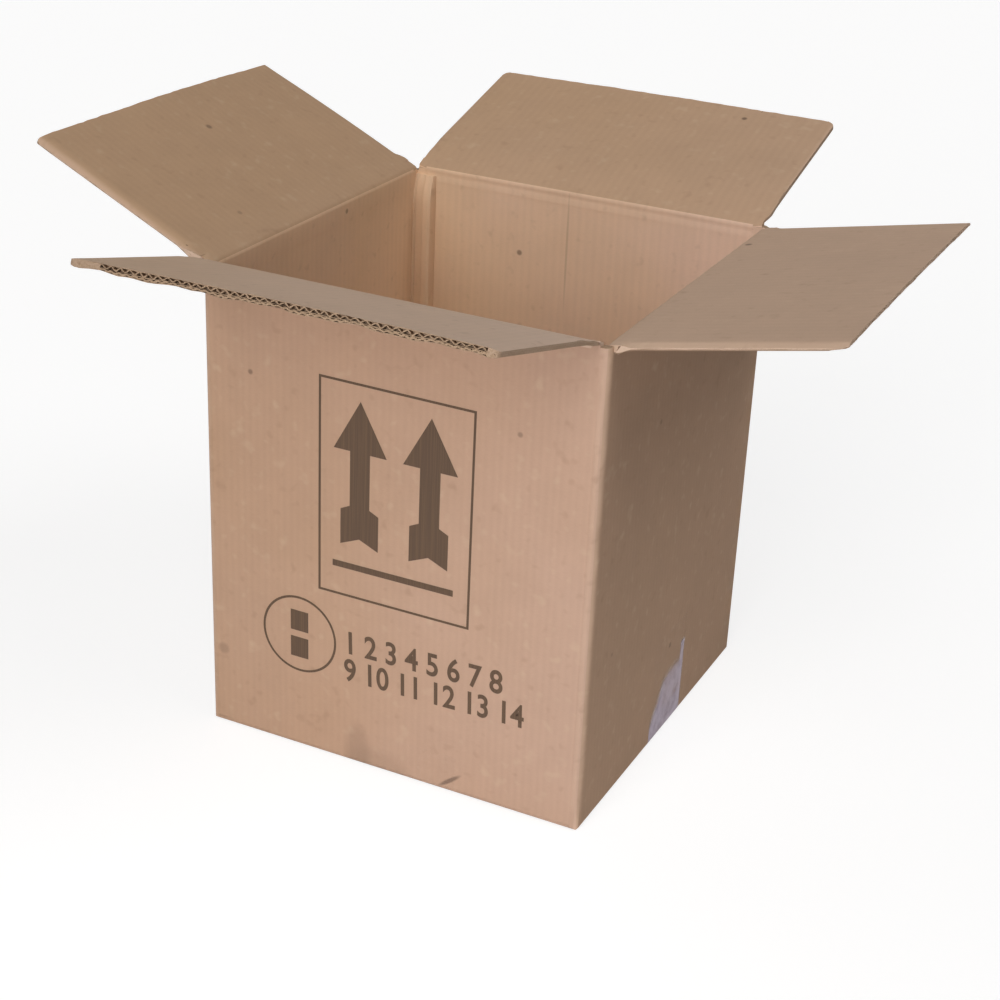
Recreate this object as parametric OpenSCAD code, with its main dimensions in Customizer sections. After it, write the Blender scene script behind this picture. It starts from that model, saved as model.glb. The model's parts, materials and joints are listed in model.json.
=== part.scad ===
// Open shipping box of double-wall corrugated board: one slotted and creased
// blank, folded up and glued at one corner. Its bottom flaps are folded under
// and taped, and its four top flaps stand turned outwards.
// X runs left to right, Y front to back and Z up. The origin is the middle of
// the underside, where the box rests. All lengths are in millimetres.

/* [Box] */
// Outside width of the box, left to right
box_w = 350; // [300:1:420]
// Outside depth of the box, front to back
box_d = 350; // [300:1:420]
// Outside height of the closed box, from the underside of the board
box_h = 417; // [250:1:600]
// Outside radius of the four upright corners
corner_r = 8; // [3:0.5:12]
// Outside radius of the folds along the bottom
fold_r = 5; // [2:0.5:6]

/* [Board] */
// Thickness of the double-wall board
board = 7; // [6.6:0.1:8]
// Thickness of each of its three flat papers
liner = 0.5; // [0.3:0.05:0.6]
// Thickness of its two fluted papers
medium = 0.5; // [0.3:0.05:0.6]
// Height of the large flutes, which face the inside of the box
large_flute_h = 3.3; // [3:0.1:3.6]
// Length of one large flute, from crest to crest
large_pitch = 7.8; // [7.2:0.1:9]
// Length of one small flute, from crest to crest
small_pitch = 6.4; // [5.8:0.1:7]

/* [Slots and creases] */
// Width of the slots that part neighbouring flaps
slot_w = 8; // [7.5:0.5:14]
// Depth of the slots below the higher creases
slot_depth = 1; // [0.5:0.5:9]
// Gap between two flaps that meet over the middle of the box
flap_gap = 1; // [0.5:0.5:4]
// Gap between a wall and its flap along the crease
crease_gap = 0.5; // [0.3:0.1:1]
// Width of the strip beside a side crease where the flutes are crushed shut
crush_w = 14; // [10:1:30]
// Run over which the front and back flaps thin down to their crushed creases
crush_ramp = 32; // [20:1:60]
// Thickness of the front and back flaps at their crushed creases
crush_t = 1.5; // [1:0.1:3]
// Height that the closed front and back flaps stand clear of the side flaps
stack_gap = 0.2; // [0.1:0.1:1]
// Radius of the outer corners of a flap
flap_corner_r = 4; // [1:0.5:10]

/* [Flap angles] */
// Angle of the front flap above level, as it stands open
front_angle = 14.5; // [-60:0.5:85]
// Angle of the back flap above level, as it stands open
back_angle = 15.5; // [-60:0.5:85]
// Angle of the left flap above level, as it stands open
left_angle = 25.5; // [-60:0.5:85]
// Angle of the right flap above level, as it stands open
right_angle = 11.5; // [-60:0.5:85]

/* [Glue tab] */
// Width of the glue tab that shows inside the back left corner
tab_w = 17; // [12:1:40]
// Run of the slanted cuts at its two ends
tab_slant = 8; // [3:1:11]

/* [Tape] */
// Thickness of the tape
tape_t = 0.15; // [0.1:0.05:0.4]
// Width of the tape along the bottom seam
seam_tape_w = 72; // [40:1:100]
// Length of seam tape turned up on the left and right walls
seam_lap = 100; // [30:1:150]
// Shift of the seam tape off the middle, towards the back
seam_tape_y = 9; // [-20:1:20]
// Width of the tape laid across the bottom
cross_tape_w = 100; // [40:1:120]
// Length of cross tape turned up on the front and back walls
cross_lap = 35; // [20:1:150]
// Shift of the cross tape off the middle, towards the right
cross_tape_x = 14; // [-30:1:30]

/* [Hidden] */
$fn = 48;

// Overrun of a cut past the faces that it opens
over = 1;
// Inside radius of the upright corners
corner_inner_r = max(corner_r - board, 1);
// Level of the board's underside, on two layers of tape
base_z = 2 * tape_t;
// Levels of the creases of the front and back flaps, and of the side flaps
major_z = base_z + box_h;
minor_z = major_z - board - stack_gap;
// Bottom of the slots at the corners
slot_z = major_z - slot_depth;
// Widths of the flaps between their slots, which are centred on the corners
major_flap_w = box_w - board - slot_w;
minor_flap_w = box_d - board - slot_w;
// Slope of the thinned part of the front and back flaps
crush_slope = (board - crush_t) / (crush_ramp - crease_gap - crush_t);
// Length of every flap, so that two of them meet over the middle of the box
flap_l = min(box_d, box_w) / 2 - flap_gap / 2;
// Height of the small flutes, which face the outside
small_flute_h = board - 3 * liner - large_flute_h;
// Levels of the two rows of flutes within a flap, from its outer face
small_row_z = liner;
large_row_z = 2 * liner + small_flute_h;
// Half width of the glued crest between two neighbouring channels, in
// thicknesses of the fluted paper
crest_share = 0.9;
board_color = "#b7947a";
flap_color = "#ad8f76";
tape_color = [0.78, 0.72, 0.66, 0.6];

// Rectangle with four round corners, centred
module round_rect(w, d, r) {
    square([w - 2 * r, d], center = true);
    square([w, d - 2 * r], center = true);
    for (x = [-1, 1], y = [-1, 1]) translate([x * (w / 2 - r), y * (d / 2 - r)]) circle(r = r);
}

// Outline from the side, standing on zero, with its two lower corners round
module round_base(w, h, r) {
    translate([-w / 2, r]) square([w, h - r]);
    translate([-w / 2 + r, 0]) square([w - 2 * r, h]);
    for (x = [-1, 1]) translate([x * (w / 2 - r), r]) circle(r = r);
}

// Turns an outline drawn in X and Z into a solid that runs length l along Y
module run_y(l) {
    translate([0, l / 2, 0]) rotate([90, 0, 0]) linear_extrude(l) children();
}

// Turns an outline drawn in Y and Z into a solid that runs length l along X
module run_x(l) {
    rotate([0, 0, 90]) run_y(l) children();
}

// Upright walls, round at the corners, up to the higher creases
module walls() {
    translate([0, 0, base_z]) linear_extrude(box_h) difference() {
        round_rect(box_w, box_d, corner_r);
        round_rect(box_w - 2 * board, box_d - 2 * board, corner_inner_r);
    }
}

// Bottom flaps: front and back outside, side flaps on top of them, each pair
// meeting in a seam along the middle
module bottom_flaps() {
    for (side = [-1, 1]) {
        outer_l = box_d / 2 - flap_gap / 2;
        translate([0, side * (box_d / 2 - outer_l / 2), base_z + board / 2])
            cube([major_flap_w, outer_l, board], center = true);
        inner_l = box_w / 2 - flap_gap / 2;
        translate([side * (box_w / 2 - inner_l / 2), 0, base_z + 1.5 * board])
            cube([inner_l, minor_flap_w, board], center = true);
    }
}

// Glue tab of the left wall, stuck to the inside of the back wall
module glue_tab() {
    tab_bottom = base_z + 2 * board;
    tab_top = minor_z - board - over;
    translate([-box_w / 2 + board, box_d / 2 - board / 2 - over / 2, 0])
        run_y(board + over) polygon([
            [-over, tab_bottom - over],
            [0, tab_bottom],
            [tab_w, tab_bottom + tab_slant],
            [tab_w, tab_top - tab_slant],
            [0, tab_top],
            [-over, tab_top]
        ]);
}

// Region within which the bottom edges are rounded as folds
module folded_base() {
    translate([0, 0, base_z]) intersection() {
        run_y(box_d + 2 * over) round_base(box_w, box_h + over, fold_r);
        run_x(box_w + 2 * over) round_base(box_d, box_h + over, fold_r);
    }
}

// Cut that crushes a wall of half span s away below a crease at z: as steep as a
// fold down to root below it, and from there inwards at the flap's own slope
module crease_cut(s, z, root, slope) {
    for (side = [0, 1]) mirror([side, 0]) polygon([
        [s + over, z],
        [s, z],
        [s - root, z - root],
        [s - board - over, z - root - (board + over - root) * slope],
        [s - board - over, major_z + over],
        [s + over, major_z + over]
    ]);
}

// Slot at each corner, which leaves a post that closes the end of the side crease
module corner_slots() {
    for (x = [-1, 1], y = [-1, 1]) {
        x0 = major_flap_w / 2;
        y0 = minor_flap_w / 2;
        translate([x > 0 ? x0 : -box_w / 2 - over, y > 0 ? y0 : -box_d / 2 - over, slot_z])
            cube([box_w / 2 + over - x0, box_d / 2 + over - y0, major_z - slot_z + over]);
    }
}

// One folded piece: walls, bottom flaps and glue tab
module carton() {
    color(board_color) difference() {
        intersection() {
            union() {
                walls();
                bottom_flaps();
                glue_tab();
            }
            folded_base();
        }
        run_x(major_flap_w)
            crease_cut(box_d / 2, major_z, crush_t + crease_gap, crush_slope);
        run_y(minor_flap_w) crease_cut(box_w / 2, minor_z, board, 1);
        corner_slots();
    }
}

// Open channel between a flat paper and the fluted one: wide at its mouth,
// which is up for way 1 and down for way -1
module channel(z, h, pitch, way) {
    mouth = pitch / 2 - crest_share * medium;
    mouth_z = way > 0 ? z + h : z;
    tip_z = mouth_z - way * (h - medium);
    polygon([[-mouth, mouth_z], [mouth, mouth_z], [0, tip_z]]);
}

// Row of flutes across a flap. The slotting cut has crushed it shut along both
// side edges, so its channels start one flute in.
module flute_row(w, z, h, pitch) {
    count = round(w / pitch);
    step = w / count;
    for (i = [1 : count - 1]) translate([-w / 2 + i * step, 0]) channel(z, h, step, 1);
    for (i = [1.5 : count - 1.5]) translate([-w / 2 + i * step, 0]) channel(z, h, step, -1);
}

// Flap lying flat, outer face down: its crease runs along X at the origin and
// it reaches along Y. Its flutes run the same way and open at the free edge.
// It thins down to root_t at the crease from ramp outwards.
module flap(w, root_t, ramp) {
    difference() {
        intersection() {
            run_x(w) polygon([
                [crease_gap, 0],
                [flap_l, 0],
                [flap_l, board],
                [ramp, board],
                [crease_gap + root_t, root_t]
            ]);
            linear_extrude(board) {
                translate([-w / 2, 0]) square([w, flap_l - flap_corner_r]);
                translate([-w / 2 + flap_corner_r, 0]) square([w - 2 * flap_corner_r, flap_l]);
                for (x = [-1, 1]) translate([x * (w / 2 - flap_corner_r), flap_l - flap_corner_r])
                    circle(r = flap_corner_r);
            }
        }
        flute_l = flap_l - ramp + over;
        translate([0, ramp + flute_l / 2, 0]) run_y(flute_l) {
            flute_row(w, small_row_z, small_flute_h, small_pitch);
            flute_row(w, large_row_z, large_flute_h, large_pitch);
        }
    }
}

module front_flap() {
    color(flap_color) translate([0, -box_d / 2, major_z])
        rotate([front_angle, 0, 180]) flap(major_flap_w, crush_t, crush_ramp);
}

module back_flap() {
    color(flap_color) translate([0, box_d / 2, major_z])
        rotate([back_angle, 0, 0]) flap(major_flap_w, crush_t, crush_ramp);
}

module left_flap() {
    color(flap_color) translate([-box_w / 2, 0, minor_z])
        rotate([left_angle, 0, 90]) flap(minor_flap_w, board, crush_w);
}

module right_flap() {
    color(flap_color) translate([box_w / 2, 0, minor_z])
        rotate([right_angle, 0, -90]) flap(minor_flap_w, board, crush_w);
}

// Outline of a strip of tape under a box of width w, turned up by lap on both
// sides, with its underside drop below the board
module tape_outline(w, lap, drop) {
    difference() {
        translate([0, base_z - drop]) round_base(w + 2 * tape_t, lap + drop, fold_r + tape_t);
        translate([0, base_z]) round_base(w, lap + over, fold_r);
    }
}

// Strip along the seam between the two outer bottom flaps
module seam_tape() {
    color(tape_color) translate([0, seam_tape_y, 0])
        run_y(seam_tape_w) tape_outline(box_w, seam_lap, tape_t);
}

// Strip laid across it, over the seam tape
module cross_tape() {
    color(tape_color) difference() {
        translate([cross_tape_x, 0, 0]) run_x(cross_tape_w) tape_outline(box_d, cross_lap, 2 * tape_t);
        translate([0, seam_tape_y, base_z - tape_t / 2])
            cube([2 * box_w, seam_tape_w, tape_t], center = true);
    }
}

carton();
front_flap();
back_flap();
left_flap();
right_flap();
seam_tape();
cross_tape();
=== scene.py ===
"""Looks of an open shipping box of double-wall corrugated board.

One slotted blank is folded up: its walls and bottom are one shell, and its four
top flaps stand turned outwards on crushed creases. Lengths are in metres.
"""

import json
import logging
import math
from contextlib import contextmanager
from dataclasses import dataclass
from enum import Enum
from typing import Callable, Iterator, Sequence

import bmesh
import bpy
from mathutils import Matrix, Vector


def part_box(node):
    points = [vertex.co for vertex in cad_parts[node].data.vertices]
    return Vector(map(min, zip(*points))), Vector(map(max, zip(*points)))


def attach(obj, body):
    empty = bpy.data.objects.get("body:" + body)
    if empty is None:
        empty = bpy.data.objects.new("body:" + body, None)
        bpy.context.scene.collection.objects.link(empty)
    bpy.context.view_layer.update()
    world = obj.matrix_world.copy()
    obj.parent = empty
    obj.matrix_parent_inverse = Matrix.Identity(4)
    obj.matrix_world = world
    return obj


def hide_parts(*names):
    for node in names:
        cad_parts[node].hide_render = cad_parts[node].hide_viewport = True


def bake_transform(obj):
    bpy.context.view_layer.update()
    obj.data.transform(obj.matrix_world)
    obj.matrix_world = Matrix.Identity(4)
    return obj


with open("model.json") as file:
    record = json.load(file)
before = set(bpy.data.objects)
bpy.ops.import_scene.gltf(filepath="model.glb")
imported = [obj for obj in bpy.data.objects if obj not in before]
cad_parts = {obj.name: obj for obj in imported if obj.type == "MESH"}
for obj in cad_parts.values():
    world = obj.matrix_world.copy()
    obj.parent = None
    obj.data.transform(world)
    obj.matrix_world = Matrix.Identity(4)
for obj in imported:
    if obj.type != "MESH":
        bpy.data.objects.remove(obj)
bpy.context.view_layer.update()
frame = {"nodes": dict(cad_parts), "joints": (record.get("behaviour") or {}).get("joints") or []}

MM = 0.001
TINY = 0.01 * MM
X, Y, Z = Vector((1, 0, 0)), Vector((0, 1, 0)), Vector((0, 0, 1))
log = logging.getLogger("open_box")

Piece = bpy.types.Object
Material = bpy.types.Material
Socket = bpy.types.NodeSocket
Outline = Sequence[tuple[float, float]]
Test = Callable[[Vector], bool]


class Across(Enum):
    """Axis along which one flute follows the next."""

    X = "X"
    Y = "Y"


class Side(Enum):
    """A wall with its top flap: the flap's name and the turn that faces it outwards from +Y."""

    FRONT = ("front_flap", 180)
    BACK = ("back_flap", 0)
    LEFT = ("left_flap", 90)
    RIGHT = ("right_flap", -90)

    @property
    def flap(self) -> str:
        """Name of the flap's node and body."""
        return self.value[0]

    @property
    def turn(self) -> Matrix:
        """Turn about Z from a piece drawn reaching along +Y."""
        return Matrix.Rotation(math.radians(self.value[1]), 4, "Z")

    @property
    def across(self) -> Across:
        """Axis that this side's flutes follow one another on."""
        return Across.X if self in (Side.FRONT, Side.BACK) else Across.Y


@dataclass(frozen=True)
class Blank:
    """Sizes of the slotted blank: what the frame gives is measured there."""

    half_w: float
    half_d: float
    major_z: float
    minor_z: float
    major_half: float
    minor_half: float
    board: float = 7 * MM
    liner: float = 0.5 * MM
    large_flute_h: float = 3.3 * MM
    large_pitch: float = 7.8 * MM
    small_pitch: float = 6.4 * MM
    slot_depth: float = 1 * MM
    flap_gap: float = 1 * MM
    crease_gap: float = 0.5 * MM
    crush_w: float = 14 * MM
    crush_ramp: float = 32 * MM
    crush_t: float = 1.5 * MM
    corner_r: float = 8 * MM

    @property
    def flap_l(self) -> float:
        """Length of a flap from its crease."""
        return min(self.half_w, self.half_d) - self.flap_gap / 2

    @property
    def small_flute_h(self) -> float:
        """Height of the small flutes, on the outside."""
        return self.board - 3 * self.liner - self.large_flute_h

    @property
    def slot_z(self) -> float:
        """Bottom of the slots at the corners."""
        return self.major_z - self.slot_depth

    @classmethod
    def from_frame(cls) -> "Blank":
        """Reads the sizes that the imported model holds.

        Returns:
            The blank's sizes, in metres.
        """
        hinges = {joint["child"]: joint["pos_m"] for joint in frame["joints"]}
        return cls(
            half_w=hinges["right_flap"][0],
            half_d=hinges["back_flap"][1],
            major_z=hinges["back_flap"][2],
            minor_z=hinges["right_flap"][2],
            major_half=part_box("back_flap")[1].x,
            minor_half=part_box("right_flap")[1].y,
        )


def choose(*pieces: Piece) -> None:
    """Selects only these objects and makes the first one active."""
    bpy.ops.object.select_all(action="DESELECT")
    for piece in pieces:
        piece.select_set(True)
    bpy.context.view_layer.objects.active = pieces[0]


def settle(piece: Piece, place: Matrix | None = None) -> None:
    """Puts an object's place, turn and size into its mesh.

    Args:
        piece: The mesh object.
        place: Its new place and turn, if it has to move first.
    """
    if place is not None:
        piece.matrix_world = place
    choose(piece)
    bpy.ops.object.transform_apply(location=True, rotation=True, scale=True)


@contextmanager
def editing(piece: Piece, kind: str = "VERT", picked: Test | None = None) -> Iterator[None]:
    """Edit mode on one mesh, with all of it or some vertices selected at the start.

    Args:
        piece: Mesh to edit.
        kind: VERT or FACE, for what is selected.
        picked: Says of a place whether its vertex is selected. Without it, all are.
    """
    choose(piece)
    bpy.ops.object.mode_set(mode="EDIT")
    bpy.ops.mesh.select_mode(type=kind)
    bpy.ops.mesh.select_all(action="DESELECT" if picked else "SELECT")
    if picked:
        mesh = bmesh.from_edit_mesh(piece.data)
        for vertex in mesh.verts:
            vertex.select_set(picked(vertex.co))
        mesh.select_flush_mode()
        bmesh.update_edit_mesh(piece.data)
    yield
    bpy.ops.object.mode_set(mode="OBJECT")


def cut(piece: Piece, axis: Vector, places: Sequence[float]) -> None:
    """Cuts a mesh along planes, so that it can bend there.

    Args:
        piece: Mesh to cut.
        axis: Direction across the planes.
        places: Distance of each plane from the origin.
    """
    with editing(piece):
        for place in places:
            bpy.ops.mesh.select_all(action="SELECT")
            bpy.ops.mesh.bisect(plane_co=axis * place, plane_no=axis)


def steps(low: float, high: float, longest: float) -> list[float]:
    """Places that part a length evenly, in steps no longer than this and without its ends."""
    count = math.ceil((high - low) / longest)
    return [low + (high - low) * i / count for i in range(1, count)]


def roughen(
    piece: Piece, offset: float, seed: int, uniform: float = 0.1, picked: Test | None = None
) -> None:
    """Shifts the picked vertices, or all of them, at random by up to this offset."""
    with editing(piece, picked=picked):
        bpy.ops.transform.vertex_random(offset=offset, uniform=uniform, seed=seed)


def use_modifier(piece: Piece, kind: str, **settings: object) -> None:
    """Adds a modifier with its settings and applies it.

    Args:
        piece: Mesh that gets it.
        kind: Blender's name for the modifier.
        settings: Its properties.
    """
    modifier = piece.modifiers.new(kind.title(), kind)
    for name, value in settings.items():
        setattr(modifier, name, value)
    choose(piece)
    bpy.ops.object.modifier_apply(modifier=modifier.name)


def flat_outline(points: Outline, name: str = "sheet") -> Piece:
    """A flat face in X and Y with these corners, in turn.

    Args:
        points: Corners of the outline.
        name: Name of the piece.

    Returns:
        The new mesh object, at the origin.
    """
    bpy.ops.mesh.primitive_circle_add(vertices=len(points), radius=1, fill_type="NGON")
    piece = bpy.context.active_object
    piece.name = name
    for vertex, (x, y) in zip(piece.data.vertices, points):
        vertex.co = (x, y, 0)
    with editing(piece):
        bpy.ops.mesh.normals_make_consistent(inside=False)
    if piece.data.polygons[0].normal.z < 0:
        with editing(piece):
            bpy.ops.mesh.flip_normals()
    return piece


def extrude(piece: Piece, shift: tuple[float, float, float]) -> None:
    """Draws a flat piece out into a solid.

    Args:
        piece: The flat piece.
        shift: How far it is drawn along X, Y and Z.
    """
    with editing(piece, "FACE"):
        bpy.ops.mesh.extrude_region_move(TRANSFORM_OT_translate={"value": shift})
        bpy.ops.mesh.select_all(action="SELECT")
        bpy.ops.mesh.normals_make_consistent(inside=False)


def prism(points: Outline, half: float, name: str = "strip") -> Piece:
    """A solid with this section in Y and Z, from -half to half along X.

    Args:
        points: Corners of the section, as (y, z).
        half: Half of its length.
        name: Name of the piece.

    Returns:
        The new mesh object, at the origin.
    """
    piece = flat_outline(points, name)
    settle(piece, Matrix(((0, 0, 1, -half), (1, 0, 0, 0), (0, 1, 0, 0), (0, 0, 0, 1))))
    extrude(piece, (2 * half, 0, 0))
    return piece


def box_between(low: Sequence[float], high: Sequence[float]) -> Piece:
    """A box between two corners.

    Args:
        low: Its lowest corner.
        high: Its highest corner.

    Returns:
        The new mesh object.
    """
    low, high = Vector(low), Vector(high)
    bpy.ops.mesh.primitive_cube_add(size=1, location=(low + high) / 2)
    piece = bpy.context.active_object
    piece.scale = high - low
    settle(piece)
    return piece


def copy_node(node: str, name: str) -> Piece:
    """Copies a CAD node and merges the corners that its faces share.

    Args:
        node: The CAD node.
        name: Name of the copy.

    Returns:
        The copy.
    """
    piece = bpy.data.objects.new(name, frame["nodes"][node].data.copy())
    bpy.context.scene.collection.objects.link(piece)
    with editing(piece):
        bpy.ops.mesh.remove_doubles(threshold=TINY)
    return piece


def dress(piece: Piece, *materials: Material) -> None:
    """Gives a mesh these materials and no others."""
    piece.data.materials.clear()
    for material in materials:
        piece.data.materials.append(material)


def warp(
    pieces: Sequence[Piece],
    low: Vector,
    high: Vector,
    points: tuple[int, int, int],
    move: Callable[[Vector], Vector],
) -> None:
    """Bends meshes with one lattice, which is then removed.

    Args:
        pieces: Meshes to bend.
        low: Lowest corner of the lattice.
        high: Highest corner of the lattice.
        points: Number of its points along X, Y and Z.
        move: How far the lattice moves at a place.
    """
    bpy.ops.object.add(type="LATTICE", location=(low + high) / 2)
    cage = bpy.context.active_object
    size = high - low
    cage.scale = size
    cage.data.points_u, cage.data.points_v, cage.data.points_w = points
    for point in cage.data.points:
        place = cage.location + Vector(a * b for a, b in zip(point.co, size))
        shift = move(place)
        point.co_deform = point.co + Vector(a / b for a, b in zip(shift, size))
    bpy.context.view_layer.update()
    for piece in pieces:
        use_modifier(piece, "LATTICE", object=cage)
    bpy.data.objects.remove(cage)


def smooth(piece: Piece, degrees: float) -> None:
    """Shades a mesh smooth across edges flatter than this angle."""
    choose(piece)
    bpy.ops.object.shade_smooth_by_angle(angle=math.radians(degrees))


def join(name: str, pieces: Sequence[Piece]) -> Piece:
    """Joins meshes into one object.

    Args:
        name: Name of the result.
        pieces: Meshes to join.

    Returns:
        The joined object.
    """
    choose(*pieces)
    bpy.ops.object.join()
    pieces[0].name = name
    return pieces[0]


@dataclass(frozen=True)
class Hinge:
    """Crease of one flap: its middle, half its length and the flap's angle above level."""

    side: Side
    place: Vector
    half: float
    angle: float

    @classmethod
    def of(cls, side: Side, blank: Blank) -> "Hinge":
        """Measures a crease in the frame.

        Args:
            side: Which crease.
            blank: Sizes of the blank.

        Returns:
            The crease as the flap stands open.
        """
        joint = next(j for j in frame["joints"] if j["child"] == side.flap)
        place = Vector(joint["pos_m"])
        low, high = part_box(side.flap)
        outwards = side.turn @ Y
        reach = max(outwards.dot(low - place), outwards.dot(high - place))
        rise = high.z - place.z - blank.board * reach / blank.flap_l
        half = blank.major_half if side.across is Across.X else blank.minor_half
        return cls(side, place, half, math.atan2(rise, reach))

    @property
    def crushed(self) -> bool:
        """Whether the flap thins down to its crease: the front and back flaps do."""
        return self.side.across is Across.X

    def spot(self, across: float, out: float, up: float) -> Vector:
        """Place on the open flap.

        Args:
            across: Distance along the crease, towards +X or +Y of the box.
            out: Distance from the crease.
            up: Height over the flap's outer face.

        Returns:
            The place in the box's frame.
        """
        along = X if self.side.across is Across.X else Y
        c, s = math.cos(self.angle), math.sin(self.angle)
        outwards = self.side.turn @ Y
        return self.place + along * across + outwards * (out * c - up * s) + Z * (out * s + up * c)

    def put(self, piece: Piece, turned: bool) -> None:
        """Puts a piece drawn along +Y at this crease, and turned raises it by the angle too."""
        raise_by = Matrix.Rotation(self.angle if turned else 0, 4, "X")
        settle(piece, Matrix.Translation(self.place) @ self.side.turn @ raise_by)


def linear(code: str) -> tuple[float, float, float, float]:
    """Turns an sRGB hex colour into linear values with full alpha."""
    shares = [int(code[i : i + 2], 16) / 255 for i in (1, 3, 5)]
    values = [s / 12.92 if s <= 0.04045 else ((s + 0.055) / 1.055) ** 2.4 for s in shares]
    return (*values, 1.0)


@dataclass(frozen=True)
class Nodes:
    """Shader nodes of a material or a world."""

    tree: bpy.types.NodeTree

    @classmethod
    def of(cls, owner: Material | bpy.types.World) -> "Nodes":
        """Nodes of a material or a world, none of them there yet."""
        owner.use_nodes = True
        owner.node_tree.nodes.clear()
        return cls(owner.node_tree)

    def add(self, kind: str, inputs: dict[str | int, object], **settings: object) -> Socket | None:
        """Adds a node with its settings, values and links.

        Args:
            kind: Type of node, without its common first part.
            inputs: For each input, a value or the socket linked to it.
            settings: The node's own properties.

        Returns:
            The first output in use, if the node has one.
        """
        made = self.tree.nodes.new("ShaderNode" + kind)
        for name, value in settings.items():
            setattr(made, name, value)
        for name, value in inputs.items():
            if isinstance(value, Socket):
                self.tree.links.new(value, made.inputs[name])
            else:
                made.inputs[name].default_value = value
        return next((output for output in made.outputs if output.enabled), None)

    def add_up(self, start: Socket | float, *parts: tuple[Socket, float]) -> Socket:
        """Adds patterns to a value, each times its factor.

        Args:
            start: The value.
            parts: Each pattern with its factor.

        Returns:
            The sum.
        """
        for pattern, depth in parts:
            start = self.add("Math", {0: pattern, 1: depth, 2: start}, operation="MULTIPLY_ADD")
        return start

    def two_tone(self, pattern: Socket, ends: Sequence[float], colours: Sequence[str]) -> Socket:
        """Turns from one colour to another as a pattern rises.

        Args:
            pattern: The pattern.
            ends: Its values where each colour is pure.
            colours: The two colours.

        Returns:
            The colour.
        """
        share = self.add("MapRange", {"Value": pattern, "From Min": ends[0], "From Max": ends[1]})
        mixed = {"Factor": share, "A": linear(colours[0]), "B": linear(colours[1])}
        return self.add("Mix", mixed, data_type="RGBA")


@dataclass(frozen=True)
class Finish:
    """A material: one shader with patterns that lie still on the box."""

    name: str

    def shade(self, nodes: Nodes, place: Socket) -> dict[str, object]:
        """Adds the nodes of the patterns and gives the shader's inputs."""
        raise NotImplementedError

    def make(self) -> Material:
        """Builds the material.

        Returns:
            The finished material.
        """
        material = bpy.data.materials.new(self.name)
        nodes = Nodes.of(material)
        place = nodes.add("TexCoord", {}).node.outputs["Object"]
        shader = nodes.add("BsdfPrincipled", {"IOR": 1.45, **self.shade(nodes, place)})
        nodes.add("OutputMaterial", {"Surface": shader})
        return material


@dataclass(frozen=True)
class SpeckAndShadow:
    """A dark spot on the paper: its place, its radius and how dark it is.

    Most are specks of dirt; a few are painted shade, under a lifted tape corner and
    along a kink. A long one is longer than it is wide, and tilted from level by its angle.
    """

    place: tuple[float, float, float]
    radius: float
    depth: float
    stretch: float = 1
    tilt: float = 0

    def share(self, nodes: Nodes, place: Socket) -> Socket:
        """How dark the spot is at a place.

        Args:
            nodes: The material's nodes.
            place: Object coordinates.

        Returns:
            The share of its colour.
        """
        lie = {
            "Vector": place,
            "Location": self.place,
            "Rotation": (0, -math.radians(self.tilt), 0),
            "Scale": (self.stretch, 1, 1),
        }
        own = nodes.add("Mapping", lie, vector_type="TEXTURE")
        away = nodes.add("VectorMath", {0: own}, operation="LENGTH")
        fade = {"Value": away, "From Min": self.radius * 0.4, "From Max": self.radius}
        fade |= {"To Min": self.depth, "To Max": 0}
        return nodes.add("MapRange", fade, interpolation_type="SMOOTHSTEP")


def specks(
    marks: Sequence[Sequence[float]], spot: Callable[[float, float], Sequence[float]]
) -> tuple[SpeckAndShadow, ...]:
    """Specks from rows of marks, with what turns two places on a face into one in the frame."""
    return tuple(SpeckAndShadow(tuple(spot(a * MM, b * MM)), r * MM, *rest) for a, b, r, *rest in marks)


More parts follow.
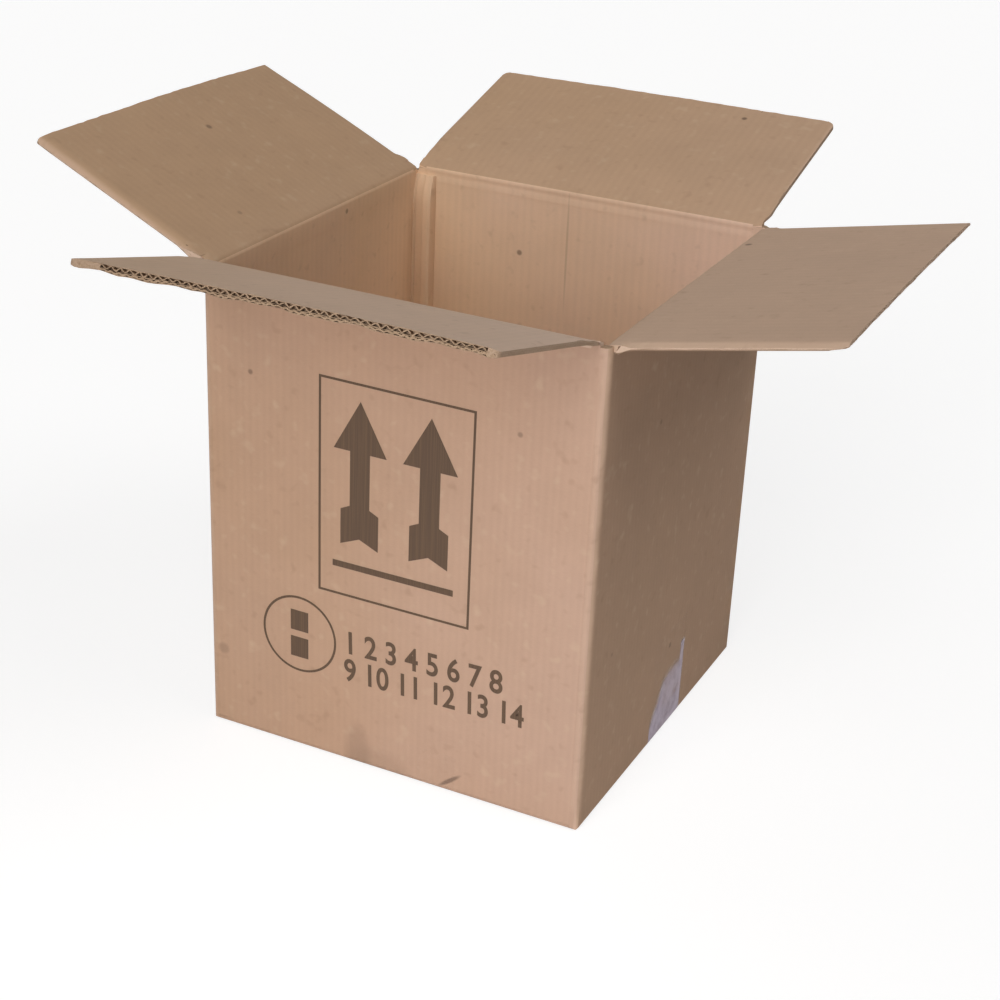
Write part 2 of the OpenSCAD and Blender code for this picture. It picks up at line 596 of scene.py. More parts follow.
@dataclass(frozen=True)
class KraftPaper(Finish):
    """Kraft linerboard: long brown pulp fibres, glued over flutes that show through.

    The flutes give faint straight bands (washboarding), the pulp a cloudy tone with
    fine flecks, and the upright corners are paler: rubbed, with a painted highlight on
    their curve. The sheet is yellower at the left of the box and pinker at its right,
    where a lighter pink also paints in the brighter light on that side.
    """

    across: Across
    pitch: float
    yellow: str
    pink: str
    band_depth: float = 0.05
    ridge_depth: float = 0.012
    cloud_depth: float = 0.16
    fibre_depth: float = 0.08
    ridge_h: float = 0.05 * MM
    cloud_h: float = 0.25 * MM
    fibre_h: float = 0.02 * MM
    specks: tuple[SpeckAndShadow, ...] = ()
    stray: float = 2.5 * MM
    fibre_fine: float = 1400
    fibre_long: float = 350

    def shade(self, nodes: Nodes, place: Socket) -> dict[str, object]:
        """Adds bands, clouds, fibres, corner wear with a painted highlight, flecks and spots.

        Args:
            nodes: The material's nodes.
            place: Object coordinates.

        Returns:
            The shader's inputs.
        """
        split = nodes.add("SeparateXYZ", {0: place}).node.outputs
        drift, cloud, patch, pulp = (
            nodes.add("TexNoise", {"Vector": place, "Scale": size, "Detail": fine, "Roughness": rough})
            for size, fine, rough in ((8, 2, 0.5), (26, 6, 0.62), (5, 3, 0.5), (95, 1, 0.5))
        )
        strayed = nodes.add_up(split[self.across.value], (drift, self.stray))
        turns = nodes.add_up(0, (strayed, 2 * math.pi / self.pitch))
        ridge = nodes.add("Math", {0: turns}, operation="SINE")
        # One value for each half flute, so that neighbouring bands differ.
        count = nodes.add_up(0, (strayed, 2 / self.pitch))
        bands = {"W": count, "Scale": 0.9, "Detail": 3, "Roughness": 0.7}
        band = nodes.add("TexNoise", bands, noise_dimensions="1D")
        # Fibres are 0.03 mm thick; they are drawn 0.7 mm thick to show from a step away.
        lie = [self.fibre_fine] * 3
        lie[0 if self.across is Across.X else 1] = self.fibre_long
        laid = nodes.add("Mapping", {"Vector": place, "Scale": lie})
        fibre = nodes.add("TexNoise", {"Vector": laid, "Scale": 1, "Detail": 2})

        tones = [(band, self.band_depth), (ridge, self.ridge_depth)]
        tones += [(cloud, self.cloud_depth), (fibre, self.fibre_depth)]
        tone = nodes.add_up(1 - sum(depth / 2 for pattern, depth in tones), *tones)
        # Yellow at the left, pink at the right: the paper's tone, and where the pink is lighter, as on the
        # front wall and front flap, also painted light for the brighter right side.
        leaning = nodes.add_up(split["X"], (patch, 500 * MM))
        paper = nodes.two_tone(leaning, (30 * MM, 450 * MM), (self.yellow, self.pink))
        colour = nodes.add("VectorMath", {0: paper, "Scale": tone}, operation="SCALE")
        # The pale corner colour is rubbed paper with a painted highlight on the round corners.
        layers = [(self.rubbed_and_highlit_corners(nodes, split, cloud), "#d6b59e")]
        for low, high, tint in ((0.62, 0.82, "#d8bfa2"), (0.36, 0.18, "#8a6a50")):
            reach = {"Value": pulp, "From Min": low, "From Max": high, "To Max": 0.2}
            layers.append((nodes.add("MapRange", reach), tint))
        # Dark spots: specks of dirt, and the painted shade listed among the marks.
        layers += [(speck.share(nodes, place), "#4c3a2e") for speck in self.specks]
        for share, tint in layers:
            mixed = {"Factor": share, "A": colour, "B": linear(tint)}
            colour = nodes.add("Mix", mixed, data_type="RGBA")

        relief = [(ridge, self.ridge_h), (cloud, self.cloud_h), (fibre, self.fibre_h)]
        bump = {"Strength": 1, "Distance": 1, "Height": nodes.add_up(0, *relief)}
        return {"Base Color": colour, "Roughness": 0.86, "Normal": nodes.add("Bump", bump)}

    def rubbed_and_highlit_corners(self, nodes: Nodes, split: bpy.types.NodeOutputs, cloud: Socket) -> Socket:
        """Paler upright corners: rubbed paper, and a painted highlight on their curve.

        Args:
            nodes: The material's nodes.
            split: X, Y and Z.
            cloud: Cloudy pattern that breaks up the wear.

        Returns:
            The share of its colour.
        """
        x, y = (nodes.add("Math", {0: split[axis]}, operation="ABSOLUTE") for axis in "XY")
        nearest = nodes.add("Math", {0: x, 1: y}, operation="MINIMUM")
        ragged = nodes.add_up(nearest, (cloud, 6 * MM))
        reach = {"Value": ragged, "From Min": 170 * MM, "From Max": 176 * MM, "To Max": 0.5}
        return nodes.add("MapRange", reach, interpolation_type="SMOOTHSTEP")


@dataclass(frozen=True)
class Pulp(Finish):
    """Kraft pulp in two tones: the fuzzy edge of a cut paper, fluted paper or ink on paper.

    The flutes under the paper take more and less of the thin ink, which gives fine
    upright streaks.
    """

    dark: str
    pale: str
    scale: tuple[float, float, float] = (800, 800, 800)
    detail: float = 3
    ends: tuple[float, float] = (0.3, 0.75)
    roughness: float = 0.95
    relief: float = 0.1 * MM

    def shade(self, nodes: Nodes, place: Socket) -> dict[str, object]:
        """Adds the fuzz or the streaks.

        Args:
            nodes: The material's nodes.
            place: Object coordinates.

        Returns:
            The shader's inputs.
        """
        # The fuzz is finer than this; 1.2 mm clumps are what shows from a step away.
        laid = nodes.add("Mapping", {"Vector": place, "Scale": self.scale})
        grain = {"Vector": laid, "Scale": 1, "Detail": self.detail, "Roughness": 0.6}
        fuzz = nodes.add("TexNoise", grain)
        colour = nodes.two_tone(fuzz, self.ends, (self.dark, self.pale))
        bump = nodes.add("Bump", {"Strength": 1, "Distance": self.relief, "Height": fuzz})
        return {"Base Color": colour, "Roughness": self.roughness, "Normal": bump}


@dataclass(frozen=True)
class PackingFilm(Finish):
    """Clear polypropylene packing tape: glossy film over glue, milky lilac where it has lifted, with a
    painted glare.
    """

    film: str = "#c9b8a6"
    # Milky lilac of the lifted film, which also paints a glare of light.
    haze_and_glare: str = "#cbb9d0"

    def shade(self, nodes: Nodes, place: Socket) -> dict[str, object]:
        """Adds the haze and its painted glare.

        Args:
            nodes: The material's nodes.
            place: Object coordinates.

        Returns:
            The shader's inputs.
        """
        split = nodes.add("SeparateXYZ", {0: place}).node.outputs
        x, y, z = split["X"], split["Y"], split["Z"]
        clouds = {"Vector": place, "Scale": 60, "Detail": 4, "Roughness": 0.6}
        cloud = nodes.add("TexNoise", clouds)
        # Only the lap on the right wall has lifted off its glue, in a wedge that widens
        # downwards, with a narrow strip over it; the milky lilac there is also a painted
        # glare of light on the film. Places are in millimetres.
        slant = nodes.add_up(y, (z, -0.75))
        edges = ((x, 172, 174), (y, 45, 41), (slant, -50, -34), (z, 66, 50), (y, 33, 36), (z, 78, 73))
        lap, before, wedge, below, strip, tip = (
            nodes.add(
                "MapRange",
                {"Value": value, "From Min": low * MM, "From Max": high * MM},
                interpolation_type="SMOOTHSTEP",
            )
            for value, low, high in edges
        )
        wide, narrow = (
            nodes.add("Math", {0: a, 1: b}, operation="MULTIPLY")
            for a, b in ((wedge, below), (strip, tip))
        )
        haze_and_glare_share = nodes.add("Math", {0: wide, 1: narrow}, operation="MAXIMUM")
        for part in (lap, before):
            haze_and_glare_share = nodes.add("Math", {0: haze_and_glare_share, 1: part}, operation="MULTIPLY")
        cloudy_haze_and_glare = nodes.add("Math", {0: haze_and_glare_share, 1: cloud}, operation="MULTIPLY", use_clamp=True)
        haze_and_glare = {"Value": cloudy_haze_and_glare, "From Max": 0.6, "To Min": 0.012, "To Max": 0.66}
        bump = {"Strength": 0.6, "Distance": 0.6 * MM, "Height": cloud}
        return {
            "Base Color": nodes.two_tone(haze_and_glare_share, (0, 1), (self.film, self.haze_and_glare)),
            "Roughness": 0.3,
            "IOR": 1.49,
            "Alpha": nodes.add("MapRange", haze_and_glare),
            "Normal": nodes.add("Bump", bump),
        }


# Two places on the face and the radius, in millimetres, how dark, and a long spot's stretch and tilt
FRONT_MARKS = (
    (-130, 334, 3, 0.5),
    (108, 334, 3, 0.4),
    (-161, 74, 7, 0.25),
    (-29, 10, 16, 0.18, 2.4, 90),
    (-8, 6, 18, 0.12, 2),
    # Painted shadow under the lifted lower corner of the cross tape, drawn as a long dark spot.
    (59, 12, 2.6, 0.6, 6, 38),
)
SIDE_MARKS = ((6.5, 85, 3.5, 0.5), (-60, 318, 3, 0.3), (-128, 142, 2.5, 0.3))
# The long upright spot on the back wall is painted shade along a kink in the board.
INSIDE_BACK_MARKS = ((-61, 351, 3.5, 0.6), (-14, 356, 1.6, 0.22, 50, 90))
INSIDE_LEFT_MARKS = ((38, 405, 3, 0.5),)
# The flaps' two colours and their marks. Their tones are painted lighter than the walls' and differ from
# flap to flap as painted light, the front flap's palest.
FLAP_PAPERS = {
    Side.FRONT: ("#c5a88d", "#d6bba6"),
    Side.BACK: ("#bb9979", "#bf9e82", (90.7, 155.3, 3.5, 0.7)),
    Side.LEFT: ("#bb9979", "#bf9e82", (0, 124.6, 4, 0.55), (-83, 29.6, 3, 0.3)),
    Side.RIGHT: ("#c2a388", "#c5a78f", (107, 4, 4, 0.6)),
}


def kraft(where: str, across: Across, *fields: object, **settings: object) -> Material:
    """Makes one kraft paper, named after where it is and the axis across its flutes."""
    return KraftPaper(f"{where}_kraft_{across.value.lower()}", across, *fields, **settings).make()


@dataclass
class Finishes:
    """Every finish of the box, made once."""

    blank: Blank

    def __post_init__(self) -> None:
        """Makes the materials."""
        blank = self.blank
        half_w, half_d, inner = blank.half_w, blank.half_d, blank.half_d - blank.board
        front = specks(FRONT_MARKS, lambda a, b: (a, -half_d, b))
        side = specks(SIDE_MARKS, lambda a, b: (half_w, a, b))
        inside = specks(INSIDE_BACK_MARKS, lambda a, b: (a, inner, b))
        inside += specks(INSIDE_LEFT_MARKS, lambda a, b: (-inner, a, b))
        small, large = blank.small_pitch, blank.large_pitch
        even = {"band_depth": 0.03, "ridge_h": 0.025 * MM}
        self.outer = {
            Across.X: kraft("front", Across.X, small, "#bb977b", "#c3a18c", specks=front, **even),
            # The side walls' paper is painted darker than the front's: painted shade for the right wall,
            # which gets less light.
            Across.Y: kraft("side", Across.Y, small, "#b5937a", "#b09076", specks=side, **even),
        }
        # The inside paper is painted lighter than the outside: painted light for the light that bounces
        # round inside the box.
        self.inner = {
            across: kraft("inside", across, large, "#e0bd97", "#e3c2ac", specks=inside)
            for across in Across
        }
        self.flap_inner = {flap: self.flap_kraft(flap) for flap in Side}
        self.cut_edge = Pulp("cut_board_edge", "#967c63", "#b4987e").make()
        # Pressed edges are painted in two lightnesses: the pale pink on the side flaps is a painted
        # highlight, the darker tone on the front and back flaps painted shade.
        self.pressed_edge = {
            Across.X: Pulp("pressed_edge_x_painted_shade", "#a28871", "#b59a83").make(),
            Across.Y: Pulp("pressed_edge_y_painted_highlight", "#c8ab94", "#d8bca6").make(),
        }
        self.fluting = Pulp("fluting_paper", "#785e46", "#967a5f").make()
        # Streaks about 1 mm apart along X and long along Z.
        streaks = {"scale": (900, 1, 12), "detail": 2, "ends": (0.42, 0.72)}
        ink = Pulp("water_based_ink", "#594434", "#664f3a", **streaks, roughness=0.7, relief=0)
        self.ink = ink.make()
        self.film = PackingFilm("clear_packing_film").make()

    def flap_kraft(self, side: Side) -> Material:
        """Makes the paper on the inner face of one flap."""
        blank, hinge = self.blank, Hinge.of(side, self.blank)
        yellow, pink, *rows = FLAP_PAPERS[side]
        settings = {
            "specks": specks(rows, lambda a, b: hinge.spot(a, b, blank.board)),
            "band_depth": 0.02,
            "ridge_h": 0.02 * MM,
        }
        return kraft(side.flap, side.across, blank.large_pitch, yellow, pink, **settings)


@dataclass
class CartonShell:
    """Walls, bottom flaps and glue tab: one folded piece, gently bowed."""

    blank: Blank
    finishes: Finishes
    grid: float = 25 * MM
    bow: float = 1.2 * MM
    post_drop: float = 1 * MM
    back_left_drop: float = 4.5 * MM
    post_flat: float = 9 * MM
    post_slope: float = 0.3
    post_rim: float = 0.5 * MM
    post_band: float = 0.3 * MM
    cage_margin: float = 2 * MM

    def build(self) -> Piece:
        """Models the shell over the CAD node and dresses it.

        Returns:
            The shell.
        """
        shell = copy_node("carton", "carton_board")
        self.cut_grid(shell)
        self.slope_posts(shell)
        self.paint(shell)
        self.bend(shell)
        smooth(shell, 20)
        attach(shell, "carton")
        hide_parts("carton")
        return shell

    def cut_grid(self, piece: Piece) -> None:
        """Cuts a piece in steps along all three axes, so that it bends with the walls."""
        w, d = self.blank.half_w, self.blank.half_d
        for axis, low, high in ((X, -w, w), (Y, -d, d), (Z, 0, self.blank.minor_z)):
            cut(piece, axis, steps(low, high, self.grid))

    def slope_posts(self, shell: Piece) -> None:
        """Rubs down the four corners that stand up between the slots, most at the back left."""
        blank = self.blank
        start = blank.half_w - blank.board - self.post_rim
        for vertex in shell.data.vertices:
            x, y, z = vertex.co
            if min(abs(x), abs(y)) > start and abs(z - blank.slot_z) < self.post_band:
                drop = self.back_left_drop if x < 0 < y else self.post_drop
                out = abs(x) + abs(y) - 2 * start
                vertex.co.z -= drop + self.post_slope * max(out - self.post_flat, 0)

    def bend(self, *pieces: Piece) -> None:
        """Bows the walls outwards between their folds, with whatever is on them."""
        blank = self.blank

        def push(place: Vector) -> Vector:
            """How far the walls give at a place."""
            x, y = place.x / blank.half_w, place.y / blank.half_d
            across, deep = (math.cos(math.pi / 2 * min(abs(share), 1)) for share in (x, y))
            up = math.sin(math.pi * min(max(place.z / blank.major_z, 0), 1))
            return Vector((x * deep * up, y * across * up, 0)) * self.bow

        margin = Vector([self.cage_margin] * 3)
        high = Vector((blank.half_w, blank.half_d, blank.major_z))
        low = Vector((-blank.half_w, -blank.half_d, 0))
        warp(pieces, low - margin, high + margin, (7, 7, 7), push)

    def paint(self, shell: Piece) -> None:
        """Gives each face of the shell its paper."""
        made = self.finishes
        kinds = [*made.outer.values(), *made.inner.values(), made.cut_edge]
        dress(shell, *kinds)
        for face in shell.data.polygons:
            face.material_index = kinds.index(self.paper_of(face.center, face.normal))

    def paper_of(self, place: Vector, facing: Vector) -> Material:
        """Says which paper or cut edge shows on a face.

        Args:
            place: Middle of the face.
            facing: Its normal.

        Returns:
            The material there.
        """
        blank, made = self.blank, self.finishes
        floor_z = 3 * blank.board
        steep = 0.8
        if facing.z < -steep:
            return made.outer[Across.X]
        if facing.z > steep:
            return made.inner[Across.Y] if place.z < floor_z else made.cut_edge
        sideways = abs(facing.x) > abs(facing.y)
        across = Across.Y if sideways else Across.X
        reach = abs(place.x) if sideways else abs(place.y)
        wall = blank.half_w if sideways else blank.half_d
        outwards = (place.x * facing.x + place.y * facing.y) > 0
        # The upright corners are round up to the slots.
        skin = blank.corner_r - TINY if place.z < blank.slot_z else TINY
        if outwards and reach > wall - skin:
            return made.outer[across]
        return made.cut_edge if outwards or reach < wall / 2 else made.inner[across]


@dataclass
class GlueTab:
    """Inner face of the tab glued to the back wall: ribbed upright, pressed flat at its edge.

    The ribs' places are in millimetres from the corner and out from the back wall.
    """

    blank: Blank
    finishes: Finishes
    low: float = 16 * MM
    top_gap: float = 1 * MM
    fade: float = 16 * MM
    thinned: float = 0.65
    grid: float = 12 * MM
    ribs: Outline = (
        *((-2, 9.4), (1.4, 9.4), (2.6, 7.8), (9, 7.8), (10.3, 9.4), (15.6, 9.4), (17.4, 7.8)),
        *((19.2, 0.15), (19.2, -1), (-2, -1)),
    )

    def build(self) -> Piece:
        """Models a ribbed sheet over the tab, thinner towards the flap's crease.

        Returns:
            The sheet.
        """
        blank = self.blank
        inner, left = blank.half_d - blank.board, blank.board - blank.half_w
        high = blank.minor_z - self.top_gap
        places = [(left + across * MM, inner - out * MM) for across, out in self.ribs]
        sheet = flat_outline(places, "glue_tab_face")
        settle(sheet, Matrix.Translation((0, 0, self.low)))
        extrude(sheet, (0, 0, high - self.low))
        cut(sheet, Z, steps(self.low, high, self.grid))
        for vertex in sheet.data.vertices:
            faded = max(vertex.co.z - high + self.fade, 0) / self.fade
            vertex.co.y = inner - (inner - vertex.co.y) * (1 - self.thinned * faded)
        dress(sheet, self.finishes.inner[Across.X])
        smooth(sheet, 25)
        return sheet


@dataclass
class TopFlap:
    """A flap with its three flat papers and two rows of flutes, open at its cut edges."""

    hinge: Hinge
    blank: Blank
    finishes: Finishes
    bow: float = 1.3 * MM
    corner_lift: tuple[float, float] = (0, 0)
    spread: tuple[float, float] = (0, 0)
    grid: float = 16 * MM
    cross_grid: float = 6 * MM
    ramp_grid: float = 5 * MM
    strip_grid: float = 3 * MM
    pulp_grid: float = 1.6 * MM
    bar_grid: float = 2 * MM
    rim_grid: float = 8 * MM
    large_medium: float = 0.85 * MM
    small_medium: float = 1.45 * MM
    flute_bite: float = 0.05 * MM
    stop_depth: float = 4 * MM
    closed_ends: tuple[float, float] = (10 * MM, 10 * MM)
    corner_r: float = 4 * MM
    rim_w: float = 0.8 * MM
    pinch_w: float = 9 * MM
    pinch: float = 0.45
    pinch_from: float = 14 * MM
    pinch_rise: float = 8 * MM
    edge_w: float = 16 * MM
    edge_crush: float = 1.6 * MM
    ragged: float = 1
    fray: float = 0.42 * MM
    fray_w: float = 1 * MM
    rim_fray: float = 0.15 * MM
    spread_from: float = 1 * MM
    spread_rise: float = 11 * MM
    ramp_stretch: float = 1.15
    ramp_ease: float = 0.25
    flute_steps: int = 12
    # Length of each wave of the dented edge, its shift and its height
    waves: tuple[tuple[float, float, float], ...] = ((11 * MM, 1, 0.28), (4.7 * MM, 2.3, 0.22))
    seed: int = 1

    def build(self) -> Piece:
        """Models the flap flat, bends it, and puts it at its crease.

        Returns:
            The flap.
        """
        blank, made, side, half = self.blank, self.finishes, self.hinge.side, self.hinge.half
        small_h, large_h = blank.small_flute_h, blank.large_flute_h
        small_z = blank.liner + small_h / 2
        large_z = blank.board - blank.liner - large_h / 2
        root = blank.crush_t if self.hinge.crushed else blank.board
        layers = [
            self.flat_paper(0, blank.crease_gap, made.outer[side.across]),
            self.flat_paper(blank.liner + small_h, blank.crush_w, made.fluting),
            self.flat_paper(blank.board - blank.liner, root, made.flap_inner[side]),
            self.fluted_paper(small_z, small_h, blank.small_pitch, self.small_medium),
            self.fluted_paper(large_z, large_h, blank.large_pitch, self.large_medium),
            self.crushed_strip(),
            self.pulp_bar(-half, half, self.stop_depth),
            self.side_rim(-1),
            self.side_rim(1),
        ]
        flap = join(f"{side.flap}_board", layers)
        edge = blank.flap_l - self.fray_w
        roughen(flap, self.fray, self.seed, 0.2, lambda place: place.y > edge)
        self.crush(flap)
        self.bend(flap)
        self.hinge.put(flap, turned=True)
        smooth(flap, 40)
        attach(flap, side.flap)
        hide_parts(side.flap)
        return flap

    def flat_paper(self, z: float, start: float, paper: Material) -> Piece:
        """One flat paper with its two outer corners round.

        Args:
            z: Its lower face, from the flap's outer face.
            start: Where it begins, from the crease.
            paper: Its material.

        Returns:
            The paper, with its thickness.
        """
        blank, half = self.blank, self.hinge.half
        end = blank.flap_l
        sheet = flat_outline([(-half, start), (half, start), (half, end), (-half, end)])
        with editing(sheet, picked=lambda place: place.y > end - TINY):
            bpy.ops.mesh.bevel(offset=self.corner_r, segments=6, affect="VERTICES")
        near_sides = [half - self.pinch_w * i / 4 for i in range(1, 5)]
        cut(sheet, X, [-x for x in near_sides] + near_sides)
        cut(sheet, X, steps(-half, half, self.cross_grid))
        cut(sheet, Y, steps(start, blank.crush_ramp, self.ramp_grid))
        cut(sheet, Y, steps(blank.crush_ramp, end, self.grid))
        dress(sheet, paper, self.finishes.cut_edge)
        use_modifier(sheet, "SOLIDIFY", thickness=blank.liner, offset=1, material_offset_rim=1)
        sheet.data.transform(Matrix.Translation((0, 0, z)))
        return sheet

    def fluted_paper(self, z: float, height: float, pitch: float, thick: float) -> Piece:
        """A row of flutes, from one flute copied across the flap.

        Args:
            z: Middle of the row.
            height: Room between the flat papers.
            pitch: Wished length of one flute.
            thick: Thickness of the paper, frayed at the cut.

        Returns:
            The fluted paper, with its thickness.
        """
        half, start, end = self.hinge.half, self.blank.crush_w, self.blank.flap_l
        count = round(2 * half / pitch)
        step = 2 * half / count
        sheet = flat_outline([(-half, start), (step - half, start), (step - half, end), (-half, end)])
        cut(sheet, X, steps(-half, step - half, step / self.flute_steps))
        cut(sheet, Y, steps(start, end, self.grid))
        swing = (height - thick) / 2 + self.flute_bite
        for vertex in sheet.data.vertices:
            turn = 2 * math.pi * (vertex.co.x + half) / step
            vertex.co.z = z - swing * math.cos(turn)
        use_modifier(sheet, "ARRAY", count=count, use_merge_vertices=True, merge_threshold=TINY)
        dress(sheet, self.finishes.fluting, self.finishes.cut_edge)
        use_modifier(sheet, "SOLIDIFY", thickness=thick, offset=0, material_offset_rim=1)
        self.trim_corners(sheet)
        return sheet

    def trim_corners(self, sheet: Piece) -> None:
        """Draws the ends of the flutes back to the flap's round corners."""
        radius = self.corner_r
        start = self.hinge.half - radius
        for vertex in sheet.data.vertices:
            over = min(abs(vertex.co.x) - start, radius)
            if over > 0:
                limit = self.blank.flap_l - radius + math.sqrt(radius**2 - over**2)
                vertex.co.y = min(vertex.co.y, limit)

    def crushed_strip(self) -> Piece:
        """Board beside the crease, where the flutes are crushed shut.

        Returns:
            The strip.
        """
        blank = self.blank
        low, high, start, end = blank.liner, blank.board - blank.liner, blank.crease_gap, blank.crush_w
        section = [(start + 2 * low, low), (end, low), (end, high), (start + high, high)]
        strip = prism(section, self.hinge.half)
        cut(strip, Y, steps(0, end, self.strip_grid))
        dress(strip, self.finishes.pressed_edge[self.hinge.side.across])
        return strip

    def pulp_box(
        self, low: tuple[float, float], high: tuple[float, float], along: Vector, places: list[float]
    ) -> Piece:
        """Crushed pulp between the outer and inner papers.

        Args:
            low: Where it begins, along the crease and out from it.
            high: Where it ends.
            along: Direction of its length.
            places: Where it is cut along its length, to bend.

        Returns:
            The pulp.
        """
        blank = self.blank
        low_z, high_z = blank.liner / 2, blank.board - blank.liner / 2
        pulp = box_between((*low, low_z), (*high, high_z))
        cut(pulp, along, places)
        cut(pulp, Z, steps(low_z, high_z, self.pulp_grid))
        dress(pulp, self.finishes.pressed_edge[self.hinge.side.across])
        return pulp

    def pulp_bar(self, start: float, end: float, depth: float) -> Piece:
        """Crushed pulp along a part of the free edge, this far behind the cut."""
        face, places = self.blank.flap_l - depth, steps(start, end, self.bar_grid)
        return self.pulp_box((start, face - self.rim_w), (end, face), X, places)

    def side_rim(self, side: int) -> Piece:
        """Pulp that the slotting cut has pressed over the ends of the layers.

        Args:
            side: -1 or 1, for the flap's two side edges.

        Returns:
            The rim, with its turn along the free edge.
        """
        blank, half, radius = self.blank, self.hinge.half, self.corner_r
        start, end = blank.crush_w, blank.flap_l - radius
        closed = self.closed_ends[0 if side < 0 else 1]
        near, far = sorted((side * (half - self.rim_w), side * half))
        rim = self.pulp_box((near, start), (far, end), Y, steps(start, end, self.rim_grid))
        bar = self.pulp_bar(*sorted((side * (half - closed), side * (half - radius))), 0)
        corner = self.pulp_bar(*sorted((side * (half - radius), side * half)), 0)
        for vertex in corner.data.vertices:
            over = abs(vertex.co.x) - half + radius
            vertex.co.y -= radius - math.sqrt(max(radius**2 - over**2, 0))
        rim = join("side_rim", [rim, bar, corner])
        low, high = blank.liner / 2 + TINY, blank.board - blank.liner / 2 - TINY
        roughen(rim, self.rim_fray, self.seed, picked=lambda place: low < place.z < high)
        return rim

    def crush(self, flap: Piece) -> None:
        """Presses the flap thinner along its edges and towards a crushed crease.

        Args:
            flap: The flat flap, whose ends it spreads too.
        """
        blank = self.blank
        for vertex in flap.data.vertices:
            near = (vertex.co.y - blank.flap_l) / self.edge_w + 1
            if near > 0:
                dent = self.edge_crush * (1 - self.ragged * (1 - self.waver(vertex.co.x)))
                vertex.co.z += dent * near * (1 - vertex.co.z / blank.board)
            over = (abs(vertex.co.x) - self.hinge.half + self.pinch_w) / self.pinch_w
            if over > 0 and vertex.co.y > self.pinch_from:
                share = min((vertex.co.y - self.pinch_from) / self.pinch_rise, 1)
                thinned = 1 - self.pinch * share * over**2
                vertex.co.z = blank.board / 2 + (vertex.co.z - blank.board / 2) * thinned
            if self.hinge.crushed and vertex.co.z > 0:
                vertex.co.z *= self.crushed_share(vertex.co.y)
            side = vertex.co.x / self.hinge.half
            rise = min(max((vertex.co.y - self.spread_from) / self.spread_rise, 0), 1)
            grown = (rise + vertex.co.y / blank.flap_l) / 2
            vertex.co.x += side * abs(side) ** 3 * grown * self.spread[0 if side < 0 else 1]

    def waver(self, x: float) -> float:
        """Uneven share from 0 to 1 of how far the edge is dented at a place along it."""
        waves = (high * math.sin(x / long + shift * self.seed) for long, shift, high in self.waves)
        return sum(waves, 0.5)

    def crushed_share(self, out: float) -> float:
        """Share of the full thickness that is left at a distance from a crushed crease."""
        blank = self.blank
        way = min(max(out / (blank.crush_ramp * self.ramp_stretch), 0), 1)
        eased = way * (1 + self.ramp_ease * (1 - way))
        return (blank.crush_t + (blank.board - blank.crush_t) * eased) / blank.board

    def bend(self, flap: Piece) -> None:
        """Bows and twists the flap beyond its crease."""
        blank, half = self.blank, self.hinge.half

        def lift(place: Vector) -> Vector:
            """How far the flap rises at a place."""
            out = max(place.y - blank.crush_w, 0) / (blank.flap_l - blank.crush_w)
            side = place.x / half
            end = 0 if side < 0 else 1
            rise = self.bow * (1 - side**2) + self.corner_lift[end] * side**2
            return Vector((0, 0, out**2 * rise))

        low = Vector((-half, 0, -blank.board))
        high = Vector((half, blank.flap_l, 2 * blank.board))
        warp([flap], low, high, (5, 6, 2), lift)


@dataclass
class FoldCrease:
    """Paper across a crease, which bends between the wall and the flap."""

    hinge: Hinge
    blank: Blank
    finishes: Finishes
    proud: float = 0.15 * MM
    reach: float = 14 * MM
    pinch_l: float = 9 * MM
    pinch: float = 0.3
    fray: float = 0.1 * MM
    blend_reach: float = 5 * MM
    grid: float = 8 * MM
    inner_line: float = 0.6 * MM
    seed: int = 1

    def build(self) -> Piece:
        """Models the crease between the wall and the open flap.

        Returns:
            The crease.
        """
        side, half, board = self.hinge.side, self.hinge.half, self.blank.board
        crease = prism(self.section(), half, f"{side.flap}_crease")
        cut(crease, X, steps(-half, half, self.grid))
        roughen(crease, self.fray, self.seed)
        self.pinch_ends(crease)
        dress(crease, self.finishes.flap_inner[side], self.finishes.inner[side.across])
        for face in crease.data.polygons:
            _, out, up = face.center
            face.material_index = int(out < self.inner_line - board and up < board / 2)
        self.hinge.put(crease, turned=False)
        smooth(crease, 50)
        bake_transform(crease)
        return crease

    def pinch_ends(self, crease: Piece) -> None:
        """Presses the crease together at its two ends, where the slots were cut."""
        middle = Vector((0, -0.5 * self.blank.board, 0.4 * self.blank.board))
        for vertex in crease.data.vertices:
            over = (abs(vertex.co.x) - self.hinge.half + self.pinch_l) / self.pinch_l
            if over > 0:
                shift = (middle - vertex.co) * self.pinch * over**2
                vertex.co += Vector((0, shift.y, shift.z))

    def section(self) -> Outline:
        """Section across the crease: outwards and up, from the crease's middle.

        Returns:
            The corners of the section.
        """
        blank = self.blank
        sizes = (blank.board, blank.liner, self.proud, self.reach, blank.crush_t)
        board, liner, proud, reach, root = (size / MM for size in sizes)
        top, inside = board + proud, board - liner
        wall = [(-inside, -reach), (-top, -reach)]
        if self.hinge.crushed:
            wall += [(-top, -8), (0.5 - top, -6.5), (-top, -5), (0.1 - top, -2.4), (-6.5, -1), (-5.4, -0.2)]
            flap = [(-1, root + 0.4), (3, root + 1.1), (6, root + 1.6), (6, root), (3, 0.8), (1.5, -proud)]
        else:
            wall += [(-top, -4), (-top, 1.2), (-6.9, 2.6), (-6.2, 3.8)]
            flap = [(-2.6, top - 0.2), (0, top + 0.1), (6, top + 0.15), (9.5, top)]
            flap += [(reach, board - 0.15), (reach, inside), (7.5, 6), (4, -proud)]
        c, s = math.cos(self.hinge.angle), math.sin(self.hinge.angle)
        raised = [(out * c - up * s, out * s + up * c) for out, up in flap]
        outer = [(0.3, -0.3), (proud, -4), (-6, -7.5)]
        return [(out * MM, up * MM) for out, up in wall + raised + outer]


